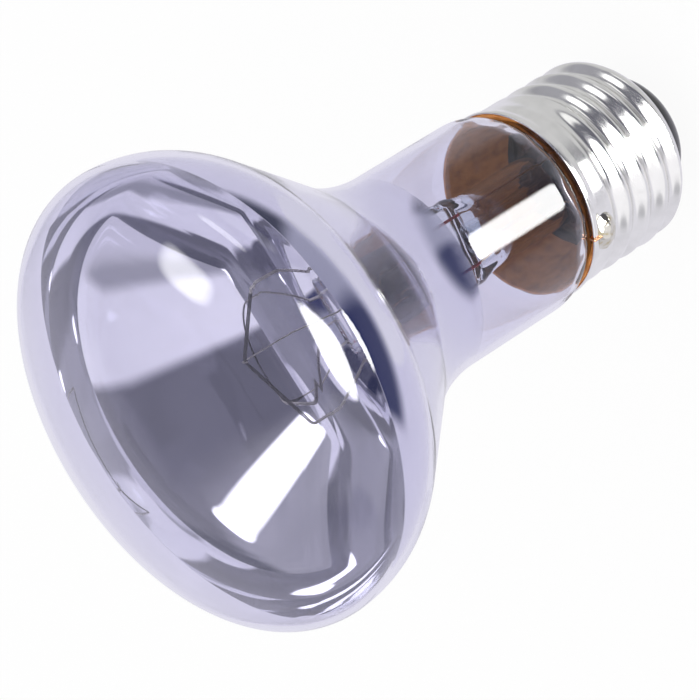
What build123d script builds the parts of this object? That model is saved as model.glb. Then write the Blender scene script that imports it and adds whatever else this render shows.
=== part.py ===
from build123d import *
import os
from math import atan2, cos, degrees, radians, sin, tan

# Reflector heat lamp bulb with an E27 screw cap, in millimetres and degrees.
# The origin is the tip of the centre contact and +Z runs along the lamp's axis to the dome.
# A rise is measured up from the cap's rim and a drop is measured down from it.

# Screw cap
rim_step = 0.35
rim_lip = 0.6
rim_flare = 1.2
collar_length = 3.6
collar_taper = 2.0
shell_wall = 0.3
shell_length = 19.8
shell_corner_radius = 2.6
thread_major_radius = 13.1
thread_depth = 1.0
thread_pitch = 3.63
thread_full_turns = 3.66
thread_fade_turns = 0.45
thread_fade_remainder = 0.1
thread_start_angle = -26.8
thread_start_lift = 0.5
thread_crest_relief = 0.015
thread_crest_land = 0.02

# Insulator and contacts
insulator_ledge = 1.2
insulator_neck_length = 1.2
insulator_corner_radius = 4.2
insulator_flange_height = 1.6
insulator_floor = 2.2
insulator_wall = 2.3
lead_hole_radius = 0.9
plate_margin = 0.2
plate_thickness = 0.3
tip_solder_radius = 3.2
tip_solder_height = 1.5
tip_solder_grip = 0.7
side_solder_radius = 2.2
side_solder_stand = 1.1
side_solder_drop = 2.4
side_solder_angle = 228.0

# Cement between the neck and the cap
cement_depth = 9.5
cement_bead_height = 0.25
cement_bead_width = 0.2

# Glass envelope
glass_wall = 0.8
neck_step = 0.6
neck_start_rise = 4.1
neck_end_rise = 20.05
tuck_outer_bend = 6.0
tuck_inner_bend = 3.6
tuck_angle = 35.0
skirt_angle = 13.0
skirt_depth = 10.5
waist_bend = 24.5
cone_angle = 37.5
belly_bend = 15.2
widest_radius = 31.75
shoulder_bend = 6.6
shoulder_turn = 60.0

# Mirror coating on the inside of the bowl
coating_thickness = 0.15
coating_start_rise = 22.0
coating_end_rise = 56.0

# Stem: flare, tube, press and exhaust tube
stem_wall = 1.0
stem_tube_radius = 5.3
stem_tube_top_rise = 8.0
seal_lip_width = 0.6
seal_lip_inset = 0.32
press_start_rise = 11.6
press_top_rise = 17.5
press_width = 12.0
press_thickness = 4.6
hollow_end_rise = 10.4
hollow_end_width = 8.2
hollow_end_thickness = 1.6
exhaust_radius = 1.8
exhaust_wall = 0.6
exhaust_top_rise = 11.0
exhaust_tip_drop = 13.5
exhaust_tip_length = 2.5
vent_rise = 12.0
vent_radius = 0.8
mount_turn = -14.0

# Wires of the mount
lead_offset = 3.3
outer_lead_radius = 0.15
outer_lead_bend = 0.8
centre_lead_bend_drop = 14.5
centre_lead_axis_drop = 19.8
side_lead_drop = 13.2
side_lead_gap = 0.28
side_lead_fold = 0.2
seal_wire_radius = 0.2
seal_wire_top_rise = 14.5
inner_lead_radius = 0.2
inner_lead_bend_rise = 23.0
inner_lead_post_rise = 40.0
inner_lead_bend = 4.0
inner_lead_reach = 1.2
inner_lead_fold = 0.6
filament_rise = 44.75
filament_half_span = 8.7
filament_corner = 7.2
filament_bend = 1.0
filament_coil_radius = 0.25
support_radius = 0.12
support_root_rise = 14.5
support_bend_rise = 22.0
support_post_rise = 38.0
support_bend = 4.0
support_hook_length = 1.2
support_fold = 0.4

# Fits
wire_clearance = 0.02
seat_clearance = 0.05

# Radii that follow from the thread, from the rim out to the neck and in to the centre contact
rim_radius = thread_major_radius + rim_step
neck_radius = rim_radius + neck_step
thread_minor_radius = thread_major_radius - thread_depth
insulator_radius = thread_major_radius - shell_corner_radius - insulator_ledge
insulator_funnel_radius = insulator_radius - insulator_wall
insulator_flat_radius = insulator_radius - insulator_corner_radius
plate_radius = insulator_flat_radius - plate_margin

# Heights that follow from the sizes above
plate_bottom = tip_solder_height
plate_top = plate_bottom + plate_thickness
shell_floor = plate_top + insulator_corner_radius + insulator_neck_length
thread_floor = shell_floor + thread_start_lift
rim_height = shell_floor + shell_length
seal_height = rim_height - skirt_depth
hollow_end = rim_height + hollow_end_rise
press_top = rim_height + press_top_rise
seal_wire_top = rim_height + seal_wire_top_rise
filament_height = rim_height + filament_rise

# The slope of the filament's two halves, and how far its bend stands out
filament_slope = atan2(filament_corner, filament_half_span)
filament_peak = filament_corner - filament_bend * (1 / cos(filament_slope) - 1)


# Common forms

def turned(edges):
    """Revolve a closed outline of (radius, height) edges about the lamp's axis."""
    return revolve(Plane.XZ * make_face(edges), Axis.Z)


def post(radius, low, high, place=(0, 0)):
    """An upright round bar between two heights."""
    return extrude(Plane((place[0], place[1], low)) * Circle(radius), high - low)


def wire_along(path, radius):
    """A round wire of the given radius along a path of straight runs and bends."""
    wire = []
    for edge in path.edges():
        section = Plane(edge @ 0, z_dir=edge % 0) * Circle(radius)
        if edge.geom_type == GeomType.LINE:
            wire.append(extrude(section, edge.length))
        else:
            spoke = edge @ 0 - edge.arc_center
            turn = degrees(edge.length / edge.radius)
            wire.append(revolve(section, Axis(edge.arc_center, spoke.cross(edge % 0)), turn))
    return wire[0] + wire[1:]


def arc_step(bend, lean, new_lean):
    """Radius and height gained along an arc whose lean from the axis changes."""
    side = 1 if new_lean > lean else -1
    gained_radius = side * bend * (cos(radians(lean)) - cos(radians(new_lean)))
    gained_height = side * bend * (sin(radians(new_lean)) - sin(radians(lean)))
    return Vector(gained_radius, gained_height)


# Envelope

def bulb_stations():
    """The joints of the envelope's outer curve from skirt to apex, each with its lean."""
    neck_low = Vector(neck_radius, rim_height + neck_start_rise)
    tuck_middle = neck_low - arc_step(tuck_outer_bend, tuck_angle, 0)
    skirt_top = tuck_middle - arc_step(tuck_inner_bend, skirt_angle, tuck_angle)
    skirt_run = skirt_top.Y - seal_height
    skirt_low = Vector(skirt_top.X - skirt_run * tan(radians(skirt_angle)), seal_height)
    neck_high = Vector(neck_radius, rim_height + neck_end_rise)
    cone_low = neck_high + arc_step(waist_bend, 0, cone_angle)
    belly_step = arc_step(belly_bend, cone_angle, 0)
    cone_gain = widest_radius - belly_step.X - cone_low.X
    cone_high = cone_low + Vector(cone_gain, cone_gain / tan(radians(cone_angle)))
    widest = cone_high + belly_step
    shoulder_end = widest + arc_step(shoulder_bend, 0, -shoulder_turn)
    dome_bend = shoulder_end.X / cos(radians(shoulder_turn))
    apex = shoulder_end + arc_step(dome_bend, -shoulder_turn, -90)
    return [
        (skirt_low, skirt_angle),
        (skirt_top, skirt_angle),
        (tuck_middle, tuck_angle),
        (neck_low, 0),
        (neck_high, 0),
        (cone_low, cone_angle),
        (cone_high, cone_angle),
        (widest, 0),
        (shoulder_end, -shoulder_turn),
        (apex, -90),
    ]


def skirt_radius(height):
    """The outer radius of the neck's tapered skirt, also past its lower edge."""
    skirt_low = bulb_stations()[0][0]
    return skirt_low.X + (height - seal_height) * tan(radians(skirt_angle))


def bulb_body(inset):
    """The solid inside the envelope's curve moved inwards by inset, cut flat at the seal."""
    points = []
    leans = []
    for point, lean in bulb_stations():
        inward = Vector(-cos(radians(lean)), sin(radians(lean)))
        points.append(point + inward * inset)
        leans.append(lean)
    points[0] = Vector(skirt_radius(seal_height) - inset / cos(radians(skirt_angle)), seal_height)
    edges = []
    for low, high, lean, next_lean in zip(points, points[1:], leans, leans[1:]):
        if lean == next_lean:
            edges.append(Line(low, high))
        else:
            edges.append(TangentArc(low, high, tangent=(sin(radians(lean)), cos(radians(lean)))))
    edges.append(Line(points[-1], (0, seal_height)))
    edges.append(Line((0, seal_height), points[0]))
    return turned(edges)


def make_coating(glass_inside):
    """The mirror film on the envelope's inner wall, from the neck to just below the widest ring."""
    low = rim_height + coating_start_rise
    high = rim_height + coating_end_rise
    film = glass_inside - bulb_body(glass_wall + coating_thickness)
    return film & post(widest_radius, low, high)


# Screw cap

def shell_body(inset):
    """The cap shell's turned form before the thread is rolled, moved inwards by inset."""
    rim = rim_radius - inset
    barrel = thread_major_radius - inset
    corner_top = shell_floor + shell_corner_radius
    corner_end = thread_major_radius - shell_corner_radius
    floor = shell_floor + inset
    lip_low = rim_height - rim_lip
    flare_low = lip_low - rim_flare
    edges = [
        Line((0, rim_height), (rim, rim_height)),
        Line((rim, rim_height), (rim, lip_low)),
        Line((rim, lip_low), (barrel, flare_low)),
        Line((barrel, flare_low), (barrel, corner_top)),
        TangentArc((barrel, corner_top), (corner_end, floor), tangent=(0, -1)),
        Line((corner_end, floor), (0, floor)),
        Line((0, floor), (0, rim_height)),
    ]
    return turned(edges)


def groove_section():
    """The knuckle thread's groove in section: two equal arcs on each flank, open to the outside."""
    crest = thread_major_radius + thread_crest_relief
    half_width = thread_pitch / 2 - thread_crest_land
    flank = ((crest + thread_minor_radius) / 2, -half_width / 2)
    outside = crest + thread_pitch / 2
    low_crest = TangentArc((crest, -half_width), flank, tangent=(0, 1))
    low_root = TangentArc(flank, (thread_minor_radius, 0), tangent=low_crest % 1)
    high_root = low_root.mirror(Plane.XZ)
    high_crest = low_crest.mirror(Plane.XZ)
    opening = Polyline(
        (crest, half_width),
        (outside, half_width),
        (outside, -half_width),
        (crest, -half_width),
    )
    return make_face([low_crest, low_root, high_root, high_crest, *opening.edges()])


def groove_path():
    """A right-hand helix at the thread's root that opens into a cone, so the groove fades out."""
    full_height = thread_full_turns * thread_pitch
    fade_height = thread_fade_turns * thread_pitch
    fade_depth = thread_major_radius - thread_minor_radius - thread_fade_remainder
    fade_angle = degrees(atan2(fade_depth, fade_height))
    fade_start = (0, 0, thread_floor + full_height)
    full = Helix(thread_pitch, full_height, thread_minor_radius, center=(0, 0, thread_floor))
    fade = Helix(thread_pitch, fade_height, thread_minor_radius, center=fade_start, cone_angle=fade_angle)
    return Wire([full, Rot(0, 0, 360 * thread_full_turns) * fade])


def make_shell():
    """The shell with its collar, rolled right-hand thread and turned-in floor."""
    path = groove_path()
    start = path @ 0
    at_start = Plane(start, x_dir=(1, 0, 0), z_dir=path % 0)
    groove = sweep(at_start * Pos(-start.X, 0) * groove_section(), path, is_frenet=True)
    bore = thread_minor_radius - shell_wall
    collar_low = rim_height - collar_length
    bore_outline = Polyline(
        (0, shell_floor),
        (bore, shell_floor),
        (bore, collar_low - collar_taper),
        (thread_major_radius - shell_wall, collar_low),
        (rim_radius, collar_low),
        (rim_radius, rim_height),
        (0, rim_height),
        close=True,
    )
    inside = shell_body(shell_wall) & turned(bore_outline.edges())
    mouth = post(insulator_radius + seat_clearance, 0, rim_height)
    return shell_body(0) - Rot(0, 0, thread_start_angle) * groove - inside - mouth


def make_insulator():
    """The black glass insulator, flanged inside the shell's floor and rounded below it."""
    seat = shell_floor + shell_wall
    flange_top = seat + insulator_flange_height
    flange_radius = thread_major_radius - shell_corner_radius - seat_clearance
    corner_top = plate_top + insulator_corner_radius
    funnel_low = plate_top + insulator_floor
    edges = [
        Line((flange_radius, flange_top), (flange_radius, seat)),
        Line((flange_radius, seat), (insulator_radius, seat)),
        Line((insulator_radius, seat), (insulator_radius, corner_top)),
        TangentArc((insulator_radius, corner_top), (insulator_flat_radius, plate_top), tangent=(0, -1)),
        Line((insulator_flat_radius, plate_top), (lead_hole_radius, plate_top)),
        Line((lead_hole_radius, plate_top), (lead_hole_radius, funnel_low)),
        Line((lead_hole_radius, funnel_low), (insulator_funnel_radius, flange_top)),
        Line((insulator_funnel_radius, flange_top), (flange_radius, flange_top)),
    ]
    return turned(edges)


def make_plate():
    """The centre contact plate with its hole for the lead."""
    disc = post(plate_radius, plate_bottom, plate_top)
    return disc - post(lead_hole_radius, plate_bottom, plate_top)


def make_tip_solder():
    """The domed solder on the contact plate, with the socket that the lead fills."""
    edges = [
        TangentArc((0, 0), (tip_solder_radius, plate_bottom), tangent=(1, 0)),
        Line((tip_solder_radius, plate_bottom), (0, plate_bottom)),
        Line((0, plate_bottom), (0, 0)),
    ]
    socket = post(outer_lead_radius + wire_clearance, plate_bottom - tip_solder_grip, plate_bottom)
    return turned(edges) - socket


def make_side_solder(shell_outside, channel):
    """The solder drop on the collar that holds the end of the side lead."""
    centre_radius = thread_major_radius + side_solder_stand - side_solder_radius
    centre = Rot(0, 0, side_solder_angle) * Pos(centre_radius, 0, rim_height - side_solder_drop)
    return centre * Sphere(side_solder_radius) - shell_outside - channel


def make_cement(glass_outside, channel):
    """The cement ring between skirt and shell, with a bead inside the rim and the side lead's channel."""
    low = rim_height - cement_depth
    step = rim_height - collar_length
    root = thread_minor_radius - shell_wall - seat_clearance
    barrel = thread_major_radius - shell_wall
    lip_low = rim_height - rim_lip
    bead_top = rim_height + cement_bead_height
    rim_bore = rim_radius - shell_wall
    outline = Polyline(
        (0, low),
        (root, low),
        (root, step - collar_taper),
        (barrel, step),
        (barrel, lip_low - rim_flare),
        (rim_bore, lip_low),
        (rim_bore, rim_height),
        (rim_bore - cement_bead_width, bead_top),
        (0, bead_top),
        close=True,
    )
    return turned(outline.edges()) - glass_outside - channel


# Stem

def make_stem():
    """The flare, tube and flat press of the stem, with its bores for wires, exhaust tube and vent."""
    tube_top = rim_height + stem_tube_top_rise
    press_start = rim_height + press_start_rise
    inner_radius = stem_tube_radius - stem_wall
    lip_end = skirt_radius(seal_height) - seal_lip_inset
    lip_start = lip_end - seal_lip_width
    flare_bend = lip_start - stem_tube_radius
    flare_top = seal_height + flare_bend
    lip_bottom = seal_height - stem_wall
    edges = [
        Line((lip_end, seal_height), (lip_start, seal_height)),
        TangentArc((lip_start, seal_height), (stem_tube_radius, flare_top), tangent=(-1, 0)),
        Line((stem_tube_radius, flare_top), (stem_tube_radius, tube_top)),
        Line((stem_tube_radius, tube_top), (inner_radius, tube_top)),
        Line((inner_radius, tube_top), (inner_radius, flare_top)),
        TangentArc((inner_radius, flare_top), (lip_start, lip_bottom), tangent=(0, -1)),
        Line((lip_start, lip_bottom), (lip_end, lip_bottom)),
        Line((lip_end, lip_bottom), (lip_end, seal_height)),
    ]
    flat = Plane((0, 0, press_start)) * SlotOverall(press_width, press_thickness)
    wedge = loft([Plane((0, 0, tube_top)) * Circle(stem_tube_radius), flat], ruled=True)
    hollow_slot = Plane((0, 0, hollow_end)) * SlotOverall(hollow_end_width, hollow_end_thickness)
    hollow = loft([Plane((0, 0, tube_top)) * Circle(inner_radius), hollow_slot], ruled=True)
    stem = turned(edges) + (wedge - hollow) + extrude(flat, press_top - press_start)

    exhaust_top = rim_height + exhaust_top_rise
    vent_height = rim_height + vent_rise
    vent_shaft = post(exhaust_radius - exhaust_wall, exhaust_top, vent_height + vent_radius)
    vent_side = extrude(Plane((0, 0, vent_height), z_dir=(0, 1, 0)) * Circle(vent_radius), press_thickness)
    stem = stem - post(exhaust_radius + wire_clearance, tube_top, exhaust_top) - vent_shaft - vent_side
    for side in (-1, 1):
        place = (side * lead_offset, 0)
        stem = stem - post(seal_wire_radius + wire_clearance, hollow_end, seal_wire_top, place)
        stem = stem - post(inner_lead_radius + wire_clearance, seal_wire_top, press_top, place)
    return stem - post(support_radius + wire_clearance, rim_height + support_root_rise, press_top)


def make_exhaust_tube():
    """The exhaust tube with its drawn, closed tip."""
    top = rim_height + exhaust_top_rise
    tip = rim_height - exhaust_tip_drop
    taper_top = tip + exhaust_tip_length
    bore = exhaust_radius - exhaust_wall
    edges = [
        Line((exhaust_radius, top), (bore, top)),
        Line((bore, top), (bore, taper_top)),
        TangentArc((bore, taper_top), (0, taper_top - bore), tangent=(0, -1)),
        Line((0, taper_top - bore), (0, tip)),
        Line((0, tip), (exhaust_wall, tip)),
        Line((exhaust_wall, tip), (exhaust_radius, taper_top)),
        Line((exhaust_radius, taper_top), (exhaust_radius, top)),
    ]
    return turned(edges)


# Wires

def turned_place(x, y, height):
    """A point of the mount, turned about the axis as the mount is."""
    return Vector(x, y, height).rotate(Axis.Z, mount_turn)


def beside_skirt(radius, height):
    """A point in the plane of the side lead and its solder."""
    return Vector(radius, 0, height).rotate(Axis.Z, side_solder_angle)


def centre_lead_path():
    """From the press down the flare, over to the axis and into the tip solder."""
    return FilletPolyline(
        turned_place(lead_offset, 0, hollow_end),
        turned_place(lead_offset, 0, rim_height - centre_lead_bend_drop),
        (0, 0, rim_height - centre_lead_axis_drop),
        (0, 0, plate_bottom - tip_solder_grip),
        radius=outer_lead_bend,
    )


def side_lead_path():
    """From the press down the flare, under the seal, up beside the skirt and over the rim."""
    low = rim_height - side_lead_drop
    fold = rim_height + outer_lead_radius + wire_clearance
    outside = rim_radius + outer_lead_radius + wire_clearance
    end = rim_height - side_solder_drop
    return FilletPolyline(
        turned_place(-lead_offset, 0, hollow_end),
        turned_place(-lead_offset, 0, low),
        beside_skirt(skirt_radius(low) + side_lead_gap, low),
        beside_skirt(skirt_radius(fold) + side_lead_gap, fold),
        beside_skirt(outside, fold),
        beside_skirt(outside, end),
        radius=[outer_lead_bend, outer_lead_bend, side_lead_fold, side_lead_fold],
    )


def inner_lead_path(side):
    """From the seal wire out to one end of the filament, folded over along the coil."""
    post_x = side * (filament_half_span + inner_lead_reach * cos(filament_slope))
    post_y = -inner_lead_reach * sin(filament_slope)
    return FilletPolyline(
        (side * lead_offset, 0, seal_wire_top),
        (side * lead_offset, 0, rim_height + inner_lead_bend_rise),
        (post_x, post_y, rim_height + inner_lead_post_rise),
        (post_x, post_y, filament_height),
        (side * filament_half_span, 0, filament_height),
        radius=[inner_lead_bend, inner_lead_bend, inner_lead_fold],
    )


def make_filament():
    """The coiled filament's outer form, bent once between the two leads."""
    path = FilletPolyline(
        (filament_half_span, 0, filament_height),
        (0, filament_corner, filament_height),
        (-filament_half_span, 0, filament_height),
        radius=filament_bend,
    )
    return wire_along(path, filament_coil_radius)


def support_path():
    """From the press out to the filament's bend, hooked over the coil."""
    stand_off = filament_coil_radius + support_radius + wire_clearance
    hook_y = filament_peak + stand_off
    hook_height = filament_height + stand_off
    return FilletPolyline(
        (0, 0, rim_height + support_root_rise),
        (0, 0, rim_height + support_bend_rise),
        (0, hook_y, rim_height + support_post_rise),
        (0, hook_y, hook_height),
        (0, hook_y - support_hook_length, hook_height),
        radius=[support_bend, support_bend, support_fold],
    )


# The assembly
glass_outside = bulb_body(0)
glass_inside = bulb_body(glass_wall)
side_lead = side_lead_path()
side_lead_channel = wire_along(side_lead, outer_lead_radius + wire_clearance)
mount = Rot(0, 0, mount_turn)

nodes = {
    "glass_envelope": glass_outside - glass_inside,
    "mirror_coating": make_coating(glass_inside),
    "screw_shell": make_shell(),
    "insulator": make_insulator(),
    "contact_plate": make_plate(),
    "tip_solder": make_tip_solder(),
    "side_solder": make_side_solder(shell_body(0), side_lead_channel),
    "basing_cement": make_cement(glass_outside, side_lead_channel),
    "stem": mount * make_stem(),
    "exhaust_tube": make_exhaust_tube(),
    "centre_lead_wire": wire_along(centre_lead_path(), outer_lead_radius),
    "side_lead_wire": wire_along(side_lead, outer_lead_radius),
    "filament": mount * make_filament(),
    "filament_support": mount * wire_along(support_path(), support_radius),
}
for name, side in (("right", 1), ("left", -1)):
    place = (side * lead_offset, 0)
    nodes[f"seal_wire_{name}"] = mount * post(seal_wire_radius, hollow_end, seal_wire_top, place)
    nodes[f"inner_lead_{name}"] = mount * wire_along(inner_lead_path(side), inner_lead_radius)

os.makedirs("parts", exist_ok=True)
for name, shape in nodes.items():
    export_step(shape, f"parts/{name}.step")
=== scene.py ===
from collections import namedtuple
from math import acos, atan2, cos, degrees, floor, pi, radians, sin, sqrt, tan

import bmesh
import bpy
from mathutils import Matrix, Vector, noise


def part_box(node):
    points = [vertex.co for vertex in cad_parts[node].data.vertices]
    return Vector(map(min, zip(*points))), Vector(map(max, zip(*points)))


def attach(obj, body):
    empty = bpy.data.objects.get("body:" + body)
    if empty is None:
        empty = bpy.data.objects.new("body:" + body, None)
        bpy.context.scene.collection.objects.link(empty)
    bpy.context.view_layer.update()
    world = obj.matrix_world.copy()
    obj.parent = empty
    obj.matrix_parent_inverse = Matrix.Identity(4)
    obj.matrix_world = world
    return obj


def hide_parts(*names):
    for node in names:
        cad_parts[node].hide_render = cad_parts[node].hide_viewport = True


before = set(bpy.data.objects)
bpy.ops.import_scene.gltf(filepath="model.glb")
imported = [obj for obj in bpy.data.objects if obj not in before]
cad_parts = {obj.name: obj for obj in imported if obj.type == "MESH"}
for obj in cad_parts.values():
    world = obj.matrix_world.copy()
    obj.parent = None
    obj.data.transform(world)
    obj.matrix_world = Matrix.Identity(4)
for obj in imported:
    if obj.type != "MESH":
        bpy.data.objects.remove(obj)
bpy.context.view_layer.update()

# A reflector heat lamp bulb. Sizes are in millimetres and become metres as each mesh is made.
MM = 0.001

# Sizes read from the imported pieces


def low(node):
    """The lower corner of a node's box, in millimetres."""
    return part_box(node)[0] / MM


def high(node):
    """The upper corner of a node's box, in millimetres."""
    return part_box(node)[1] / MM


rim_height = high("screw_shell").z
rim_radius = high("screw_shell").x
shell_floor = low("screw_shell").z
seal_height = low("glass_envelope").z
widest_radius = high("glass_envelope").x
coating_low = low("mirror_coating").z
coating_high = high("mirror_coating").z
insulator_flange = high("insulator").x
insulator_top = high("insulator").z
plate_radius = high("contact_plate").x
plate_low = low("contact_plate").z
plate_high = high("contact_plate").z
tip_solder_radius = high("tip_solder").x
cement_low = low("basing_cement").z
cement_top = high("basing_cement").z
press_top = high("stem").z
lip_radius = high("stem").x
filament_height = (low("filament").z + high("filament").z) / 2
filament_coil_radius = (high("filament").z - low("filament").z) / 2

# Glass envelope: wall, and the bends of its outer curve
glass_wall = 0.8
neck_radius = 14.05
neck_start_rise = 4.1
neck_end_rise = 20.05
tuck_outer_bend = 6.0
tuck_inner_bend = 3.6
tuck_angle = 35.0
skirt_angle = 13.0
waist_bend = 24.5
cone_angle = 37.5
belly_bend = 15.2
shoulder_bend = 6.6
shoulder_turn = 60.0
glass_ripple = 0.01
inner_wave_size = 9
outer_wave_size = 11
tuck_ripple = 0.22
tuck_wave_size = 2.6
tuck_fade_share = 1.5
calm_height = 1.0

# Mirror film
film_gap = 0.03
film_thickness = 0.1
film_edge_wander = 0.15
film_edge_sharpness = 8
edge_wander_size = 0.5
edge_ripple_size = 0.2
edge_ripple_share = 0.3
film_fade_height = 2.5
film_edge_cover = 0.4

# Screw shell
shell_wall = 0.3
shell_corner_radius = 2.6
shell_mouth_radius = 9.35
rim_lip = 0.6
rim_round = 0.15
rim_flare = 1.2
collar_length = 3.6
thread_major_radius = 13.1
thread_depth = 1.0
thread_pitch = 3.63
thread_start_lift = 0.5
thread_start_angle = -26.8
thread_full_turns = 3.66
thread_fade_turns = 0.45
collar_taper = 2
shell_dents = 0.01
wide_dent_size = 4.5
small_dent_size = 1.3
small_dent_share = 0.4

# Insulator and contacts
insulator_radius = 9.3
insulator_corner_radius = 4.2
insulator_wall = 2.3
insulator_floor = 2.2
flange_round = 0.3
lead_hole_radius = 0.9
tip_solder_curve = 2.2
tip_foot_wander = 0.06
tip_foot_size = 0.4
side_solder_angle = 228.0
side_solder_width = 2.9
side_solder_reach = 2.3
side_solder_length = 2.1
side_solder_stand = 1.15
side_solder_drop = 2.5
side_solder_sink = 0.45
crease_depth = 0.06
crease_size = 0.55
pit_depth = 0.04
pit_size = 0.25

# Stem
stem_wall = 1.0
stem_tube_radius = 5.3
stem_tube_top_rise = 8.0
seal_lip_width = 0.6
seal_lip_round = 0.1
press_start_rise = 11.6
press_width = 12.0
press_thickness = 4.6
press_crown = 0.9
press_corner_spread = 1.5
press_wave_size = 1.7
press_unevenness = 0.025
hollow_end_rise = 10.4
hollow_end_width = 8.2
hollow_end_thickness = 1.6
mount_turn = -14.0

# Filament
filament_half_span = 8.7
filament_corner = 7.2
filament_bend = 1.0
filament_wire_radius = 0.055
filament_turns = 120
filament_steps_per_turn = 14
filament_wire_sides = 6

# Cement's bead inside the rim
cement_bead_round = 0.15
cement_lumps = 0.12
cement_lump_size = 0.12
cement_recess = 0.75
cement_recess_start = 0.5
cement_recess_run = 0.3

# Room between glass and what touches it
glass_room = 0.03

# Points round each mesh, and rows along the longer stretches
around_glass = 240
around_shell = 256
around_small = 96
solder_around = 48
thread_rows = 118
flare_rows = 12
solder_rows = 32

# The envelope's curve has at least so many rows in an arc or a run, and more by turn and length
arc_rows = 8
arc_row_turn = 6
run_rows = 4
run_row_length = 0.7

# A ring closer to the axis than this is a pole
pole_radius = 1e-6

# Angles in degrees from which an edge is shown sharp
plain_edge = 35.0
blown_edge = 60
shell_edge = 50
coil_edge = 80


# Meshes

def new_piece(name, node, slot, vertices, faces, material, sharp_angle=plain_edge):
    """Make a smooth closed mesh that stands for a CAD node."""
    mesh = bpy.data.meshes.new(name)
    mesh.from_pydata([Vector(v) * MM for v in vertices], [], faces)
    work = bmesh.new()
    work.from_mesh(mesh)
    bmesh.ops.recalc_face_normals(work, faces=work.faces)
    work.to_mesh(mesh)
    work.free()
    mesh.shade_smooth()
    mesh.set_sharp_from_angle(angle=radians(sharp_angle))
    mesh.materials.append(material)
    piece = bpy.data.objects.new(name, mesh)
    bpy.context.scene.collection.objects.link(piece)
    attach(piece, "root")
    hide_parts(node)
    return piece


def skin(rings, loop):
    """Vertices and faces over rings of points, where a ring of one point is a pole."""
    vertices = []
    starts = []
    for ring in rings:
        starts.append(len(vertices))
        vertices.extend(ring)
    pairs = list(zip(range(len(rings)), range(1, len(rings))))
    if loop:
        pairs.append((len(rings) - 1, 0))
    faces = []
    for a, b in pairs:
        count = max(len(rings[a]), len(rings[b]))
        if count == 1:
            continue
        for i in range(count):
            j = (i + 1) % count
            corners = []
            for ring, step in ((a, i), (a, j), (b, j), (b, i)):
                corner = starts[ring] + (step if len(rings[ring]) > 1 else 0)
                if corner not in corners:
                    corners.append(corner)
            faces.append(corners)
    return vertices, faces


def revolved(outline, around, moved=None):
    """Rings of (radius, height) points, with moved(radius, angle, height) for what isn't round."""
    rings = []
    for radius, height in outline:
        if radius < pole_radius:
            rings.append([(0, 0, height)])
            continue
        ring = []
        for i in range(around):
            angle = 2 * pi * i / around
            r, z = moved(radius, angle, height) if moved else (radius, height)
            ring.append((r * cos(angle), r * sin(angle), z))
        rings.append(ring)
    return rings


def lathe(outline, around, moved=None):
    """Vertices and faces of a closed outline turned round the axis."""
    return skin(revolved(outline, around, moved), loop=True)


def stepped(start, end, count):
    """Points on a straight run, without its first one."""
    return [tuple(a + (b - a) * k / count for a, b in zip(start, end)) for k in range(1, count + 1)]


def round_corner(centre, radius, start_angle, end_angle, count):
    """Points on an arc of the outline, with both ends."""
    points = []
    for k in range(count + 1):
        angle = radians(start_angle + (end_angle - start_angle) * k / count)
        points.append((centre[0] + radius * cos(angle), centre[1] + radius * sin(angle)))
    return points


def smooth(value):
    """Ease from 0 to 1."""
    value = min(max(value, 0.0), 1.0)
    return value * value * (3 - 2 * value)


def lumps(x, y, z, size, seed):
    """Smooth noise of about -1 to 1 with features of the given size."""
    return noise.noise(Vector((x / size + seed, y / size - seed, z / size + 2 * seed)))


# Envelope curve

def arc_step(bend, lean, new_lean):
    """Radius and height gained along an arc whose lean from the axis changes."""
    side = 1 if new_lean > lean else -1
    gained_radius = side * bend * (cos(radians(lean)) - cos(radians(new_lean)))
    gained_height = side * bend * (sin(radians(new_lean)) - sin(radians(lean)))
    return Vector((gained_radius, gained_height))


def envelope_stations():
    """The joints of the outer curve from skirt to apex: point, lean and the bend that leads there."""
    neck_low = Vector((neck_radius, rim_height + neck_start_rise))
    tuck_middle = neck_low - arc_step(tuck_outer_bend, tuck_angle, 0)
    skirt_top = tuck_middle - arc_step(tuck_inner_bend, skirt_angle, tuck_angle)
    skirt_run = skirt_top.y - seal_height
    skirt_low = Vector((skirt_top.x - skirt_run * tan(radians(skirt_angle)), seal_height))
    neck_high = Vector((neck_radius, rim_height + neck_end_rise))
    cone_low = neck_high + arc_step(waist_bend, 0, cone_angle)
    belly = arc_step(belly_bend, cone_angle, 0)
    cone_gain = widest_radius - belly.x - cone_low.x
    cone_high = cone_low + Vector((cone_gain, cone_gain / tan(radians(cone_angle))))
    widest = cone_high + belly
    shoulder_end = widest + arc_step(shoulder_bend, 0, -shoulder_turn)
    dome_bend = shoulder_end.x / cos(radians(shoulder_turn))
    apex = shoulder_end + arc_step(dome_bend, -shoulder_turn, -90)
    return [
        (skirt_low, skirt_angle, 0),
        (skirt_top, skirt_angle, 0),
        (tuck_middle, tuck_angle, tuck_inner_bend),
        (neck_low, 0, tuck_outer_bend),
        (neck_high, 0, 0),
        (cone_low, cone_angle, waist_bend),
        (cone_high, cone_angle, 0),
        (widest, 0, belly_bend),
        (shoulder_end, -shoulder_turn, shoulder_bend),
        (apex, -90, dome_bend),
    ]


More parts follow.
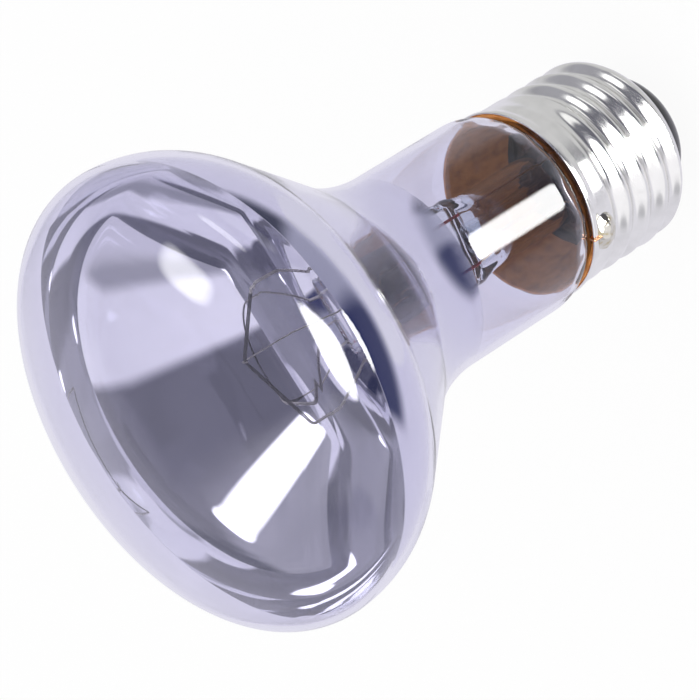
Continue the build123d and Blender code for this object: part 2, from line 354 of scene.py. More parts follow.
def envelope_curve(inset):
    """(radius, height) points of the envelope's curve moved inwards, from skirt to apex."""
    stations = envelope_stations()
    leans_and_points = [(stations[0][1], stations[0][0])]
    for (start, lean, _), (end, new_lean, bend) in zip(stations, stations[1:]):
        if bend:
            count = max(arc_rows, round(abs(new_lean - lean) * sqrt(bend) / arc_row_turn))
            for k in range(1, count + 1):
                turned = lean + (new_lean - lean) * k / count
                leans_and_points.append((turned, start + arc_step(bend, lean, turned)))
        else:
            count = max(run_rows, round((end - start).length / run_row_length))
            for k in range(1, count + 1):
                leans_and_points.append((lean, start.lerp(end, k / count)))
    curve = []
    for lean, point in leans_and_points:
        curve.append((point.x - inset * cos(radians(lean)), point.y + inset * sin(radians(lean))))
    foot = stations[0][0].x - inset / cos(radians(skirt_angle))
    curve[0] = (foot, seal_height)
    curve[-1] = (0.0, curve[-1][1])
    return curve


def radius_at(curve, height):
    """The radius of the lower part of an envelope curve at a height."""
    for (r0, z0), (r1, z1) in zip(curve, curve[1:]):
        if z0 <= height <= z1:
            return r0 + (r1 - r0) * (height - z0) / (z1 - z0)
    return curve[0][0]


def between(curve, bottom, top):
    """The stretch of an envelope curve between two heights."""
    inside = [(r, z) for r, z in curve if bottom < z < top]
    return [(radius_at(curve, bottom), bottom), *inside, (radius_at(curve, top), top)]


# Materials: most of a noise lies between these two values
noise_low = 0.3
noise_high = 0.7


def new_material(name, **values):
    """A principled material with constant values set on the shader's own sockets."""
    material = bpy.data.materials.new(name)
    material.use_nodes = True
    shader = material.node_tree.nodes["Principled BSDF"]
    for key, value in values.items():
        shader.inputs[key.replace("_", " ")].default_value = value
    return material


def field(material, size, detail=4.0, stretch=(1, 1, 1)):
    """Noise over the object's own coordinates, with features of about size millimetres."""
    tree = material.node_tree
    place = tree.nodes.new("ShaderNodeTexCoord")
    mapping = tree.nodes.new("ShaderNodeMapping")
    mapping.inputs["Scale"].default_value = stretch
    cloud = tree.nodes.new("ShaderNodeTexNoise")
    cloud.inputs["Scale"].default_value = 1 / (size * MM)
    cloud.inputs["Detail"].default_value = detail
    tree.links.new(place.outputs["Object"], mapping.inputs["Vector"])
    tree.links.new(mapping.outputs["Vector"], cloud.inputs["Vector"])
    return cloud.outputs["Fac"]


def colours(material, factor, stops, socket="Base Color"):
    """A colour ramp over a noise, linked to the base colour or another socket."""
    tree = material.node_tree
    ramp = tree.nodes.new("ShaderNodeValToRGB")
    while len(ramp.color_ramp.elements) < len(stops):
        ramp.color_ramp.elements.new(0.5)
    for element, (place, colour) in zip(ramp.color_ramp.elements, stops):
        element.position = place
        element.color = (*colour, 1)
    tree.links.new(factor, ramp.inputs["Fac"])
    tree.links.new(ramp.outputs["Color"], tree.nodes["Principled BSDF"].inputs[socket])


def roughness(material, factor, smoothest, roughest):
    """Roughness that follows a noise between two values."""
    tree = material.node_tree
    span = tree.nodes.new("ShaderNodeMapRange")
    span.inputs["From Min"].default_value = noise_low
    span.inputs["From Max"].default_value = noise_high
    span.inputs["To Min"].default_value = smoothest
    span.inputs["To Max"].default_value = roughest
    tree.links.new(factor, span.inputs["Value"])
    tree.links.new(span.outputs["Result"], tree.nodes["Principled BSDF"].inputs["Roughness"])


def bump(material, factor, height, strength=1.0):
    """Fine relief of the given height in millimetres."""
    tree = material.node_tree
    relief = tree.nodes.new("ShaderNodeBump")
    relief.inputs["Strength"].default_value = strength
    relief.inputs["Distance"].default_value = height * MM
    tree.links.new(factor, relief.inputs["Height"])
    tree.links.new(relief.outputs["Normal"], tree.nodes["Principled BSDF"].inputs["Normal"])


def thinned(material, bottom, top, least):
    """Cover that grows from least at the bottom height to full at the top one."""
    tree = material.node_tree
    place = tree.nodes.new("ShaderNodeTexCoord")
    height = tree.nodes.new("ShaderNodeSeparateXYZ")
    cover = tree.nodes.new("ShaderNodeMapRange")
    cover.inputs["From Min"].default_value = bottom * MM
    cover.inputs["From Max"].default_value = top * MM
    cover.inputs["To Min"].default_value = least
    tree.links.new(place.outputs["Object"], height.inputs["Vector"])
    tree.links.new(height.outputs["Z"], cover.inputs["Value"])
    tree.links.new(cover.outputs["Result"], tree.nodes["Principled BSDF"].inputs["Alpha"])


tinted_glass = new_material("tinted_glass", Transmission_Weight=1.0, Roughness=0.0, IOR=1.5)
colours(tinted_glass, field(tinted_glass, 30), [(0.3, (0.86, 0.85, 0.95)), (0.7, (0.89, 0.88, 0.96))])
bump(tinted_glass, field(tinted_glass, 9, detail=1.0), 0.008)

stem_glass = new_material("stem_glass", Transmission_Weight=1.0, Roughness=0.0, IOR=1.55)
colours(stem_glass, field(stem_glass, 5), [(0.3, (0.86, 0.90, 0.92)), (0.7, (0.93, 0.95, 0.97))])
bump(stem_glass, field(stem_glass, 2.5, detail=2.0), 0.04)

mirror_film = new_material("mirror_film", Metallic=1.0, Roughness=0.03)
colours(mirror_film, field(mirror_film, 14), [(0.3, (0.84, 0.84, 0.88)), (0.7, (0.90, 0.90, 0.93))])
roughness(mirror_film, field(mirror_film, 5), 0.015, 0.05)
thinned(mirror_film, coating_low, coating_low + film_fade_height, film_edge_cover)

plated_shell = new_material("plated_shell", Metallic=1.0, Roughness=0.25)
shell_stops = [(0.3, (0.79, 0.785, 0.77)), (0.6, (0.87, 0.865, 0.85))]
colours(plated_shell, field(plated_shell, 3, detail=6.0), shell_stops)
roughness(plated_shell, field(plated_shell, 1.2, detail=6.0), 0.15, 0.21)
bump(plated_shell, field(plated_shell, 0.6, detail=5.0, stretch=(0.3, 0.3, 3)), 0.002)

black_insulator = new_material("black_insulator", Roughness=0.12, IOR=1.6)
insulator_stops = [(0.3, (0.006, 0.006, 0.008)), (0.7, (0.02, 0.02, 0.026))]
colours(black_insulator, field(black_insulator, 2), insulator_stops)
roughness(black_insulator, field(black_insulator, 1), 0.08, 0.2)
bump(black_insulator, field(black_insulator, 1.5, detail=3.0), 0.05)

contact_brass = new_material("contact_brass", Metallic=1.0, Roughness=0.3)
colours(contact_brass, field(contact_brass, 1.0), [(0.3, (0.62, 0.42, 0.18)), (0.7, (0.82, 0.64, 0.34))])
bump(contact_brass, field(contact_brass, 0.3), 0.015)

solder = new_material("solder", Metallic=1.0, Roughness=0.18)
solder_stops = [(0.3, (0.50, 0.43, 0.25)), (0.45, (0.64, 0.61, 0.54)), (0.8, (0.74, 0.73, 0.69))]
colours(solder, field(solder, 0.9), solder_stops)
roughness(solder, field(solder, 0.7), 0.06, 0.2)
bump(solder, field(solder, 0.8, detail=3.0), 0.08)

# A little light of the cement's own stands for what the neck's glass would let through to it
brown_cement = new_material("brown_cement", Roughness=0.5, Emission_Strength=0.27)
cement_stops = [(0.3, (0.26, 0.09, 0.02)), (0.5, (0.42, 0.155, 0.035)), (0.75, (0.54, 0.225, 0.06))]
cement_cloud = field(brown_cement, 1.6, detail=7.0)
colours(brown_cement, cement_cloud, cement_stops)
colours(brown_cement, cement_cloud, cement_stops, "Emission Color")
roughness(brown_cement, field(brown_cement, 0.5), 0.35, 0.7)
bump(brown_cement, field(brown_cement, 0.35, detail=6.0), 0.08)

seal_wire = new_material("seal_wire", Metallic=0.6, Roughness=0.35)
colours(seal_wire, field(seal_wire, 0.5), [(0.3, (0.45, 0.02, 0.03)), (0.7, (0.80, 0.08, 0.07))])

nickel_wire = new_material("nickel_wire", Metallic=1.0, Roughness=0.3)
colours(nickel_wire, field(nickel_wire, 0.6), [(0.3, (0.56, 0.54, 0.50)), (0.7, (0.74, 0.72, 0.67))])
roughness(nickel_wire, field(nickel_wire, 0.3, stretch=(1, 1, 0.1)), 0.2, 0.45)

copper_wire = new_material("copper_wire", Metallic=1.0, Roughness=0.3)
colours(copper_wire, field(copper_wire, 0.8), [(0.3, (0.55, 0.24, 0.11)), (0.7, (0.80, 0.46, 0.28))])

tungsten = new_material("tungsten", Metallic=1.0, Roughness=0.4)
colours(tungsten, field(tungsten, 0.4), [(0.3, (0.18, 0.18, 0.19)), (0.7, (0.32, 0.32, 0.33))])


# Envelope and mirror film
outer_curve = envelope_curve(0)
inner_curve = envelope_curve(glass_wall)


def blown(radius, angle, height):
    """Slight waves of the glass inside, stronger where the neck is tucked in and calm at the cement."""
    x = radius * cos(angle)
    y = radius * sin(angle)
    calm = smooth((height - cement_top) / calm_height)
    tuck = smooth(1 - (height - rim_height) / (tuck_fade_share * neck_start_rise))
    wave = glass_ripple * lumps(x, y, height, inner_wave_size, 3.1)
    wave = wave + tuck * tuck_ripple * lumps(x, y, height, tuck_wave_size, 7.7)
    return radius + calm * wave, height


def blown_outside(radius, angle, height):
    """Slight waves of the glass outside, calm at the cement."""
    x = radius * cos(angle)
    y = radius * sin(angle)
    calm = smooth((height - cement_top) / calm_height)
    return radius + calm * glass_ripple * lumps(x, y, height, outer_wave_size, 5.3), height


outside_rings = revolved(outer_curve, around_glass, blown_outside)
inside_rings = revolved(inner_curve[::-1], around_glass, blown)
glass_mesh = skin(outside_rings + inside_rings, loop=True)
new_piece("envelope_glass", "glass_envelope", "tinted_glass", *glass_mesh, tinted_glass, blown_edge)


def film_edge(radius, angle, height):
    """The film's upper edge wanders a little round the bowl."""
    share = smooth((height - coating_low) / (coating_high - coating_low))
    wander = lumps(cos(angle), sin(angle), 0, edge_wander_size, 9.2)
    wander = wander + edge_ripple_share * lumps(cos(angle), sin(angle), 0, edge_ripple_size, 4.2)
    return radius, height + share ** film_edge_sharpness * film_edge_wander * (wander - 1)


film_seat = glass_wall + glass_ripple + film_gap
film_outside = between(envelope_curve(film_seat), coating_low, coating_high)
film_inside = between(envelope_curve(film_seat + film_thickness), coating_low, coating_high)
film_mesh = lathe(film_outside + film_inside[::-1], around_glass, film_edge)
new_piece("bowl_mirror", "mirror_coating", "mirror_film", *film_mesh, mirror_film, blown_edge)


# Screw shell

def shell_outline():
    """The shell's turned outline: outside from its mouth to the rim, then the inside back down."""
    corner_end = thread_major_radius - shell_corner_radius
    corner_top = shell_floor + shell_corner_radius
    lip_low = rim_height - rim_lip
    flare_low = lip_low - rim_flare
    inner_barrel = thread_major_radius - thread_depth - shell_wall
    outline = [(shell_mouth_radius, shell_floor)]
    outline += stepped(outline[-1], (corner_end, shell_floor), 6)
    outline += round_corner((corner_end, corner_top), shell_corner_radius, -90, 0, 36)[1:]
    outline += stepped(outline[-1], (thread_major_radius, flare_low), thread_rows)
    for k in range(1, flare_rows + 1):
        share = k / flare_rows
        step = (rim_radius - thread_major_radius) * smooth(share)
        outline.append((thread_major_radius + step, flare_low + rim_flare * share))
    outline += stepped(outline[-1], (rim_radius, rim_height - rim_round), 3)
    outline += round_corner((rim_radius - rim_round, rim_height - rim_round), rim_round, 0, 180, 8)[1:]
    outline += stepped(outline[-1], (thread_major_radius - shell_wall, flare_low), 6)
    outline += stepped(outline[-1], (thread_major_radius - shell_wall, rim_height - collar_length), 3)
    outline += stepped(outline[-1], (inner_barrel, rim_height - collar_length - collar_taper), 3)
    outline += stepped(outline[-1], (inner_barrel, corner_top), 4)
    outline += stepped(outline[-1], (corner_end, shell_floor + shell_wall), 6)
    outline += stepped(outline[-1], (shell_mouth_radius, shell_floor + shell_wall), 3)
    return outline


def threaded(radius, angle, height):
    """Roll the right-hand knuckle thread into the outside of the barrel, with slight dents."""
    on_barrel = radius > thread_major_radius - shell_wall / 2
    on_corner = height < shell_floor + shell_corner_radius and radius > thread_major_radius - thread_depth
    if not (on_barrel or on_corner):
        return radius, height
    turn = degrees(angle) / 360 - thread_start_angle / 360
    rise = (height - shell_floor - thread_start_lift) / thread_pitch
    along = turn + floor(rise - turn + 0.5)
    across = rise - along
    fade = smooth((thread_full_turns + thread_fade_turns - along) / thread_fade_turns)
    groove = thread_major_radius - fade * thread_depth * (0.5 + 0.5 * cos(2 * pi * across))
    x = radius * cos(angle)
    y = radius * sin(angle)
    small_dent = small_dent_share * lumps(x, y, height, small_dent_size, 6.4)
    dent = shell_dents * (lumps(x, y, height, wide_dent_size, 2.2) + small_dent)
    if height > rim_height - rim_lip - rim_flare:
        return radius + dent, height
    return min(radius, max(groove, thread_major_radius - thread_depth)) + dent, height


shell_mesh = lathe(shell_outline(), around_shell, threaded)
new_piece("cap_shell", "screw_shell", "plated_shell", *shell_mesh, plated_shell, shell_edge)


# Cement ring with an uneven bead on the rim

def uneven(radius, angle, height):
    """The bead swells here and there, and sinks below the rim along one side."""
    over = smooth((height - rim_height) / (cement_top - rim_height))
    bead = lumps(cos(angle), sin(angle), 0, cement_lump_size, 1.9)
    near_side = smooth((-sin(angle) - cement_recess_start) / cement_recess_run)
    sunk = near_side * smooth(height - rim_height + 1)
    return radius, height + cement_lumps * over * bead - cement_recess * sunk


cement_inside = between([(r + glass_room, z) for r, z in outer_curve], cement_low, cement_top)
cement_room = thread_major_radius - shell_wall - glass_room
rim_room = rim_radius - shell_wall - glass_room
bead_centre = (rim_room - cement_bead_round, cement_top - cement_bead_round)
cement_mesh = lathe(
    cement_inside
    + round_corner(bead_centre, cement_bead_round, 90, 0, 6)
    + [
        (rim_room, rim_height),
        (rim_room, rim_height - rim_lip),
        (cement_room, rim_height - rim_lip - rim_flare),
        (cement_room, rim_height - collar_length),
        (cement_room - thread_depth, rim_height - collar_length - collar_taper),
        (cement_room - thread_depth, cement_low),
    ],
    around_small * 2,
    uneven,
)
new_piece("cement_ring", "basing_cement", "brown_cement", *cement_mesh, brown_cement)


# Insulator, contact plate and solders
seat = shell_floor + shell_wall
corner_centre = (insulator_radius - insulator_corner_radius, plate_high + insulator_corner_radius)
flange_edge = insulator_flange - flange_round
insulator_outline = [
    (lead_hole_radius, plate_high),
    *stepped((lead_hole_radius, plate_high), (insulator_radius - insulator_corner_radius, plate_high), 8),
    *round_corner(corner_centre, insulator_corner_radius, -90, 0, 24)[1:],
    *stepped((insulator_radius, corner_centre[1]), (insulator_radius, seat), 4),
    *round_corner((flange_edge, seat + flange_round), flange_round, -90, 0, 5),
    *round_corner((flange_edge, insulator_top - flange_round), flange_round, 0, 90, 5),
    (insulator_radius - insulator_wall, insulator_top),
    (lead_hole_radius, plate_high + insulator_floor),
]
insulator_mesh = lathe(insulator_outline, around_small)
new_piece("cap_insulator", "insulator", "black_insulator", *insulator_mesh, black_insulator)

edge = (plate_high - plate_low) / 2
plate_outline = [
    (lead_hole_radius, plate_low),
    *round_corner((plate_radius - edge, plate_low + edge), edge, -90, 90, 8),
    (lead_hole_radius, plate_high),
]
plate_mesh = lathe(plate_outline, around_small)
new_piece("contact_disc", "contact_plate", "contact_brass", *plate_mesh, contact_brass)


def tip_form(radius, angle, height):
    """An uneven foot where the tip solder wets the plate."""
    foot = smooth(height / plate_low)
    wet = lumps(cos(angle), sin(angle), 0, tip_foot_size, 8.1)
    return radius * (1 + tip_foot_wander * foot * (wet - 1)), height


tip_outline = [(0, 0)]
for k in range(1, 25):
    share = k / 24
    tip_outline.append((tip_solder_radius * share, plate_low * share ** tip_solder_curve))
tip_outline.append((0, plate_low))
tip_mesh = lathe(tip_outline, around_small, tip_form)
new_piece("tip_solder_drop", "tip_solder", "solder", *tip_mesh, solder)


def side_solder_mesh():
    """A lumpy drop on the collar, with its flat base just under the shell's surface."""
    outward = Vector((cos(radians(side_solder_angle)), sin(radians(side_solder_angle)), 0))
    sideways = Vector((0, 0, 1)).cross(outward)
    depth = side_solder_reach - side_solder_stand
    base_height = Vector((0, 0, rim_height - side_solder_drop))
    base = outward * (thread_major_radius - side_solder_sink) + base_height
    centre = base - outward * (depth - side_solder_sink)
    steepest = acos((depth - side_solder_sink) / side_solder_reach)
    rings = []
    for row in range(solder_rows + 1):
        tilt = steepest * row / solder_rows
        ring = []
        for i in range(solder_around):
            turn = 2 * pi * i / solder_around
            way = Vector((cos(tilt), cos(turn) * sin(tilt), sin(turn) * sin(tilt)))
            crease = crease_depth * lumps(*way, crease_size, 3.3)
            pit = pit_depth * lumps(*way, pit_size, 5.9)
            spot = outward * way.x * side_solder_reach + sideways * way.y * side_solder_width
            spot = spot + Vector((0, 0, way.z * side_solder_length))
            ring.append(tuple(centre + spot * (1 + crease + pit)))
        rings.append(ring if row else ring[:1])
    rings.append([tuple(base)])
    return skin(rings, loop=False)


new_piece("side_solder_drop", "side_solder", "solder", *side_solder_mesh(), solder)


# Stem: flare, tube and press in one skin of rings

def stem_ring(height, radius, width, thickness, flat):
    """A ring between a circle and a flat slot, turned as the mount is."""
    ring = []
    half_flat = (width - thickness) / 2
    for i in range(around_small):
        angle = 2 * pi * i / around_small
        spread = max(-1, min(1, press_corner_spread * cos(angle)))
        slot_x = thickness / 2 * cos(angle) + half_flat * spread
        slot_y = thickness / 2 * sin(angle)
        x = (1 - flat) * radius * cos(angle) + flat * slot_x
        y = (1 - flat) * radius * sin(angle) + flat * slot_y
        pressed = 1 + press_unevenness * flat * lumps(x, y, height, press_wave_size, 2.8)
        place = Matrix.Rotation(radians(mount_turn), 3, "Z") @ Vector((x * pressed, y * pressed, height))
        ring.append(tuple(place))
    return ring


def stem_mesh():
    """From the top of the hollow down inside, round the sealing lip and up the outside to the press."""
    tube_top = rim_height + stem_tube_top_rise
    press_start = rim_height + press_start_rise
    hollow_top = rim_height + hollow_end_rise
    bore = stem_tube_radius - stem_wall
    lip_start = lip_radius - seal_lip_width
    flare = lip_start - stem_tube_radius
    flare_top = seal_height + flare
    rings = [[(0, 0, hollow_top)]]
    for k in range(12):
        share = k / 12
        height = hollow_top + (tube_top - hollow_top) * share
        rings.append(stem_ring(height, bore, hollow_end_width, hollow_end_thickness, 1 - smooth(share)))
    tube = [(bore, z) for _, z in stepped((0, tube_top), (0, flare_top), 12)]
    tube += round_corner((lip_start, flare_top), flare + stem_wall, 180, 270, 16)[1:]
    lip_edge = lip_radius - seal_lip_round
    tube += [(lip_edge, seal_height - stem_wall), (lip_radius, seal_height - stem_wall / 2)]
    tube += [(lip_edge, seal_height - glass_room)]
    tube += [(r, z - glass_room) for r, z in round_corner((lip_start, flare_top), flare, 270, 180, 16)]
    tube += [(stem_tube_radius, z) for _, z in stepped((0, flare_top), (0, tube_top), 12)]
    for radius, height in tube:
        rings.append(stem_ring(height, radius, press_width, press_thickness, 0))
    for k in range(1, 17):
        share = k / 16
        height = tube_top + (press_start - tube_top) * share
        rings.append(stem_ring(height, stem_tube_radius, press_width, press_thickness, smooth(share)))
    for height in [z for _, z in stepped((0, press_start), (0, press_top - press_crown), 12)]:
        rings.append(stem_ring(height, 0, press_width, press_thickness, 1))
    for k in range(1, 9):
        fall = radians(90 * k / 9)
        trim = press_crown * (1 - cos(fall))
        height = press_top - press_crown * (1 - sin(fall))
        rings.append(stem_ring(height, 0, press_width - 2 * trim, press_thickness - 2 * trim, 1))
    rings.append([(0, 0, press_top)])
    return skin(rings, loop=False)


new_piece("stem_glass_body", "stem", "stem_glass", *stem_mesh(), stem_glass, blown_edge)


# Filament: the coil's wire along its bent path

def filament_mesh():
    """A fine wire wound round the path that bends once between the two leads."""
    slope = atan2(filament_corner, filament_half_span)
    run = filament_half_span / cos(slope) - filament_bend * tan(slope)
    bent = 2 * slope * filament_bend
    bend_centre = Vector((0, filament_corner - filament_bend / cos(slope), filament_height))
    turn = Matrix.Rotation(radians(mount_turn), 3, "Z")
    coil = filament_coil_radius - filament_wire_radius
    steps = filament_turns * filament_steps_per_turn
    points = []
    for k in range(steps + 1):
        share = k / steps
        reached = share * (2 * run + bent)
        angle = slope * (1 - 2 * min(max((reached - run) / bent, 0), 1))
        outward = Vector((sin(angle), cos(angle), 0))
        ahead = Vector((-cos(angle), sin(angle), 0))
        spot = bend_centre + outward * filament_bend
        spot = spot + ahead * (min(reached - run, 0) + max(reached - run - bent, 0))
        phase = 2 * pi * filament_turns * share
        points.append(turn @ (spot + outward * coil * cos(phase) + Vector((0, 0, coil * sin(phase)))))
    rings = []
    for k, spot in enumerate(points):
        ahead = (points[min(k + 1, steps)] - points[max(k - 1, 0)]).normalized()
        side = ahead.cross(Vector((0, 0, 1))).normalized()
        other = ahead.cross(side)
        ring = []
        for i in range(filament_wire_sides):
            angle = 2 * pi * i / filament_wire_sides
            ring.append(tuple(spot + (side * cos(angle) + other * sin(angle)) * filament_wire_radius))
        rings.append(ring)
    rings = [[tuple(points[0])], *rings, [tuple(points[-1])]]
    return skin(rings, loop=False)


new_piece("filament_coil", "filament", "tungsten", *filament_mesh(), tungsten, coil_edge)


# The CAD pieces that stay get their finish
finishes = {
    "exhaust_tube": stem_glass,
    "centre_lead_wire": copper_wire,
    "side_lead_wire": copper_wire,
    "seal_wire_left": seal_wire,
    "seal_wire_right": seal_wire,
    "inner_lead_left": nickel_wire,
    "inner_lead_right": nickel_wire,
    "filament_support": nickel_wire,
}
for node, finish in finishes.items():
    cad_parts[node].data.materials.clear()
    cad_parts[node].data.materials.append(finish)


# Camera at the photograph's angle; its axes also place the studio's screens
camera_place = Vector((-4.13, -452.95, rim_height + 368.13)) * MM
camera_right = Vector((-0.53465, -0.50065, -0.68080))
camera_up = Vector((0.84507, -0.31675, -0.43072))
camera_back = Vector((0, -0.80561, 0.59244))
camera_lens = 230
camera_sensor = 36
camera_data = bpy.data.cameras.new("camera")
camera_data.lens = camera_lens
camera_data.sensor_width = camera_sensor
camera = bpy.data.objects.new("camera", camera_data)
turn = Matrix((camera_right, camera_up, camera_back)).transposed()
camera.matrix_world = Matrix.Translation(camera_place) @ turn.to_4x4()
bpy.context.scene.collection.objects.link(camera)
bpy.context.scene.camera = camera
bpy.context.scene.view_settings.view_transform = "Standard"


# Studio: white surroundings, the dark room behind the photographer and bright screens in it
white = (1.0, 1.0, 1.0)
surroundings_colour = (0.80, 0.79, 0.86)
table_colour = (1.05, 1.04, 1.08)
below_colour = (0.45, 0.45, 0.49)
overhead_colour = (0.66, 0.66, 0.67)
room_colour = (0.15, 0.15, 0.185)
left_colour = (0.38, 0.38, 0.42)
upper_side_colour = (0.42, 0.43, 0.5)
dim_side_colour = (0.02, 0.028, 0.11)
dim_top_colour = (0.035, 0.04, 0.08)

# Where a zone starts and where it is full, along an axis of the camera
table_lean = 0.33
table_edge = (-0.5, -0.36)
table_front = (0.0, 0.25)
below_edge = (0.86, 0.93)
room_lean = 0.1
room_edge = (0.16, 0.36)
left_edge = (0.35, 0.6)
left_back = (-0.45, -0.2)
inside_back = (-0.4, -0.15)
upper_side_edge = (0.6, 0.8)
dim_side_edge = (0.74, 0.86)
dim_top_edge = (0.7, 0.8)
dim_top_side = (0.5, 0.35)
overhead_edge = (0.3, 0.6)
overhead_back = (-0.9, -0.7)

# A screen's half sizes are shares of its distance, and some screens show only in reflections
Screen = namedtuple("Screen", "middle upright half_width half_height soft level only_reflected")
screen_corner_power = 3.0
screen_front = (0.0, 0.2)

floor_half_width = 3000.0
floor_colour = (0.9, 0.9, 0.9, 1)
floor_glow_share = 0.93


def maths(tree, operation, *values):
    """One math node over sockets and numbers."""
    node = tree.nodes.new("ShaderNodeMath")
    node.operation = operation
    for socket, value in zip(node.inputs, values):
        if isinstance(value, (int, float)):
            socket.default_value = value
        else:
            tree.links.new(value, socket)
    return node.outputs[0]


def eased(tree, value, start, end):
    """0 at start and 1 at end, smoothly."""
    node = tree.nodes.new("ShaderNodeMapRange")
    node.interpolation_type = "SMOOTHSTEP"
    node.inputs["From Min"].default_value = start
    node.inputs["From Max"].default_value = end
    tree.links.new(value, node.inputs["Value"])
    return node.outputs["Result"]


def along(tree, axis):
    """How far the ray's direction points along an axis."""
    place = tree.nodes.new("ShaderNodeTexCoord")
    node = tree.nodes.new("ShaderNodeVectorMath")
    node.operation = "DOT_PRODUCT"
    node.inputs[1].default_value = axis
    tree.links.new(place.outputs["Generated"], node.inputs[0])
    return node.outputs["Value"]


def from_camera(across, upward, backward):
    """A direction given along the camera's axes."""
    return (camera_right * across + camera_up * upward + camera_back * backward).normalized()


def facing(tree, axis, edge):
    """0 to 1 as the ray's direction comes over an edge along an axis."""
    return eased(tree, along(tree, axis), *edge)


def product(tree, first, *others):
    """Masks multiplied together."""
    for mask in others:
        first = maths(tree, "MULTIPLY", first, mask)
    return first


def screen_mask(tree, screen):
    """A soft patch with rounded corners round a screen's middle."""
    side = screen.upright.cross(screen.middle).normalized()
    top = screen.middle.cross(side)
    reach = 0.0
    for axis, half in ((side, screen.half_width), (top, screen.half_height)):
        offset = maths(tree, "ABSOLUTE", along(tree, axis / half))
        reach = maths(tree, "ADD", maths(tree, "POWER", offset, screen_corner_power), reach)
    patch = eased(tree, reach, 1 + screen.soft, 1 - screen.soft)
    return product(tree, patch, facing(tree, screen.middle, screen_front))


def layered(tree, under, mask, over):
    """Lay a colour over another, where the mask is. Either can be a socket."""
    node = tree.nodes.new("ShaderNodeMix")
    node.data_type = "RGBA"
    tree.links.new(mask, node.inputs["Factor"])
    for name, colour in (("A", under), ("B", over)):
        if isinstance(colour, tuple):
            node.inputs[name].default_value = (*colour, 1)
        else:
            tree.links.new(colour, node.inputs[name])
    return node.outputs["Result"]


def studio_zones(tree, reflected, refracted):
    """Masks and colours of the studio's parts, from the first laid to the last."""
    above_table = facing(tree, camera_up - camera_right * table_lean, table_edge)
    under_edge = maths(tree, "SUBTRACT", 1.0, above_table)
    table = product(tree, under_edge, facing(tree, camera_back, table_front))
    below = product(tree, table, facing(tree, -camera_up, below_edge))
    in_front = facing(tree, camera_back + camera_right * room_lean, room_edge)
    room = product(tree, in_front, above_table)
    beside = facing(tree, -camera_right, left_edge)
    left = product(tree, above_table, beside, facing(tree, camera_back, left_back))
    inside = product(tree, refracted, above_table, facing(tree, camera_back, inside_back))
    upper_right = from_camera(0.7, 0.7, 0.0)
    upper_side = product(tree, inside, facing(tree, upper_right, upper_side_edge))
    dim_side = product(tree, inside, facing(tree, camera_right, dim_side_edge))
    high_up = facing(tree, camera_up, dim_top_edge)
    dim_top = product(tree, inside, high_up, facing(tree, camera_right, dim_top_side))
    raised = facing(tree, camera_up, overhead_edge)
    overhead = product(tree, raised, reflected, facing(tree, camera_back, overhead_back))
    return (
        (table, table_colour),
        (below, below_colour),
        (overhead, overhead_colour),
        (room, room_colour),
        (left, left_colour),
        (upper_side, upper_side_colour),
        (dim_side, dim_side_colour),
        (dim_top, dim_top_colour),
    )


def studio_screens():
    """The bright screens, from the first laid to the last."""
    axis = Vector((0, 0, 1))
    tilted_upright = from_camera(0.502, 0.864, 0.02)
    left_upright = from_camera(0.097, 0.82, 0.557)
    upper_left = Screen(from_camera(-0.579, 0.553, 0.632), tilted_upright, 0.2, 0.082, 0.5, 3.0, False)
    right = Screen(from_camera(0.91, 0.36, 0.23), axis, 0.2, 0.045, 0.5, 21.0, True)
    front = Screen(from_camera(0.26, -0.03, 0.96), camera_up, 0.34, 0.32, 0.4, 24.0, True)
    above = Screen(from_camera(-0.1, 0.86, 0.5), camera_up, 0.28, 0.16, 0.5, 1.2, True)
    left = Screen(from_camera(-0.94, -0.1, 0.31), left_upright, 0.14, 0.06, 0.9, 11.0, True)
    return upper_left, right, front, above, left


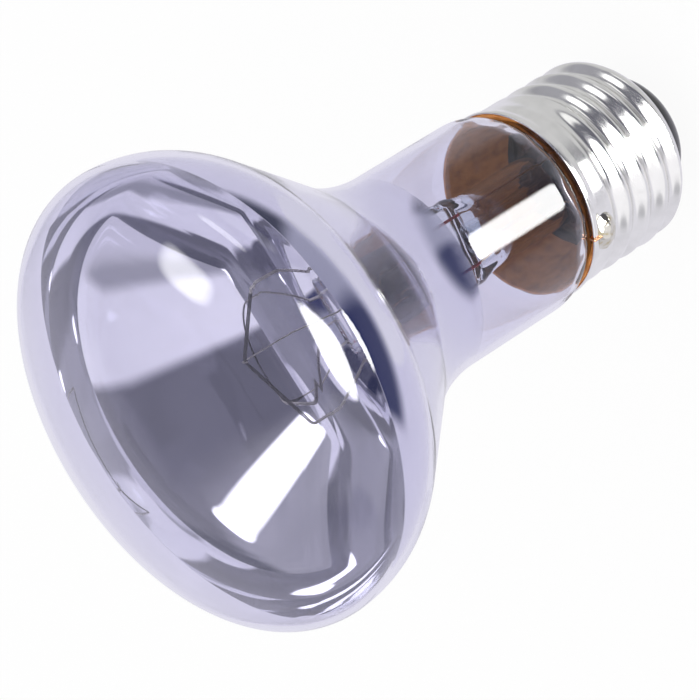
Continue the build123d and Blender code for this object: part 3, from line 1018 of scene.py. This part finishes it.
def light_world():
    """White for what looks straight at it, and the studio for what reflects or refracts it."""
    world = bpy.data.worlds.new("studio")
    bpy.context.scene.world = world
    world.use_nodes = True
    tree = world.node_tree
    paths = tree.nodes.new("ShaderNodeLightPath")
    refracted = paths.outputs["Is Transmission Ray"]
    reflected = maths(tree, "SUBTRACT", paths.outputs["Is Glossy Ray"], refracted)
    studio = surroundings_colour
    for mask, colour in studio_zones(tree, reflected, refracted):
        studio = layered(tree, studio, mask, colour)
    for screen in studio_screens():
        mask = screen_mask(tree, screen)
        if screen.only_reflected:
            mask = product(tree, mask, reflected)
        studio = layered(tree, studio, mask, (screen.level, screen.level, screen.level))
    seen = maths(tree, "MAXIMUM", paths.outputs["Is Glossy Ray"], refracted)
    shown = layered(tree, white, seen, studio)
    tree.links.new(shown, tree.nodes["Background"].inputs["Color"])
    tree.nodes["Background"].inputs["Strength"].default_value = 1.0


def lay_floor():
    """A white floor that keeps a light shadow of the lamp."""
    half = floor_half_width * MM
    corners = [(-half, -half, 0), (half, -half, 0), (half, half, 0), (-half, half, 0)]
    mesh = bpy.data.meshes.new("studio_floor")
    mesh.from_pydata(corners, [], [(0, 1, 2, 3)])
    material = new_material("floor_white", Roughness=0.9, Base_Color=floor_colour)
    tree = material.node_tree
    glow = tree.nodes.new("ShaderNodeEmission")
    mix = tree.nodes.new("ShaderNodeMixShader")
    paths = tree.nodes.new("ShaderNodeLightPath")
    glow_share = maths(tree, "MULTIPLY", paths.outputs["Is Camera Ray"], floor_glow_share)
    tree.links.new(glow_share, mix.inputs["Fac"])
    tree.links.new(tree.nodes["Principled BSDF"].outputs["BSDF"], mix.inputs[1])
    tree.links.new(glow.outputs["Emission"], mix.inputs[2])
    tree.links.new(mix.outputs["Shader"], tree.nodes["Material Output"].inputs["Surface"])
    mesh.materials.append(material)
    piece = bpy.data.objects.new("studio_floor", mesh)
    piece.visible_glossy = False
    piece.visible_transmission = False
    bpy.context.scene.collection.objects.link(piece)


light_world()
lay_floor()
bpy.context.scene.cycles.max_bounces = 24
bpy.context.scene.cycles.glossy_bounces = 12
bpy.context.scene.cycles.transmission_bounces = 24
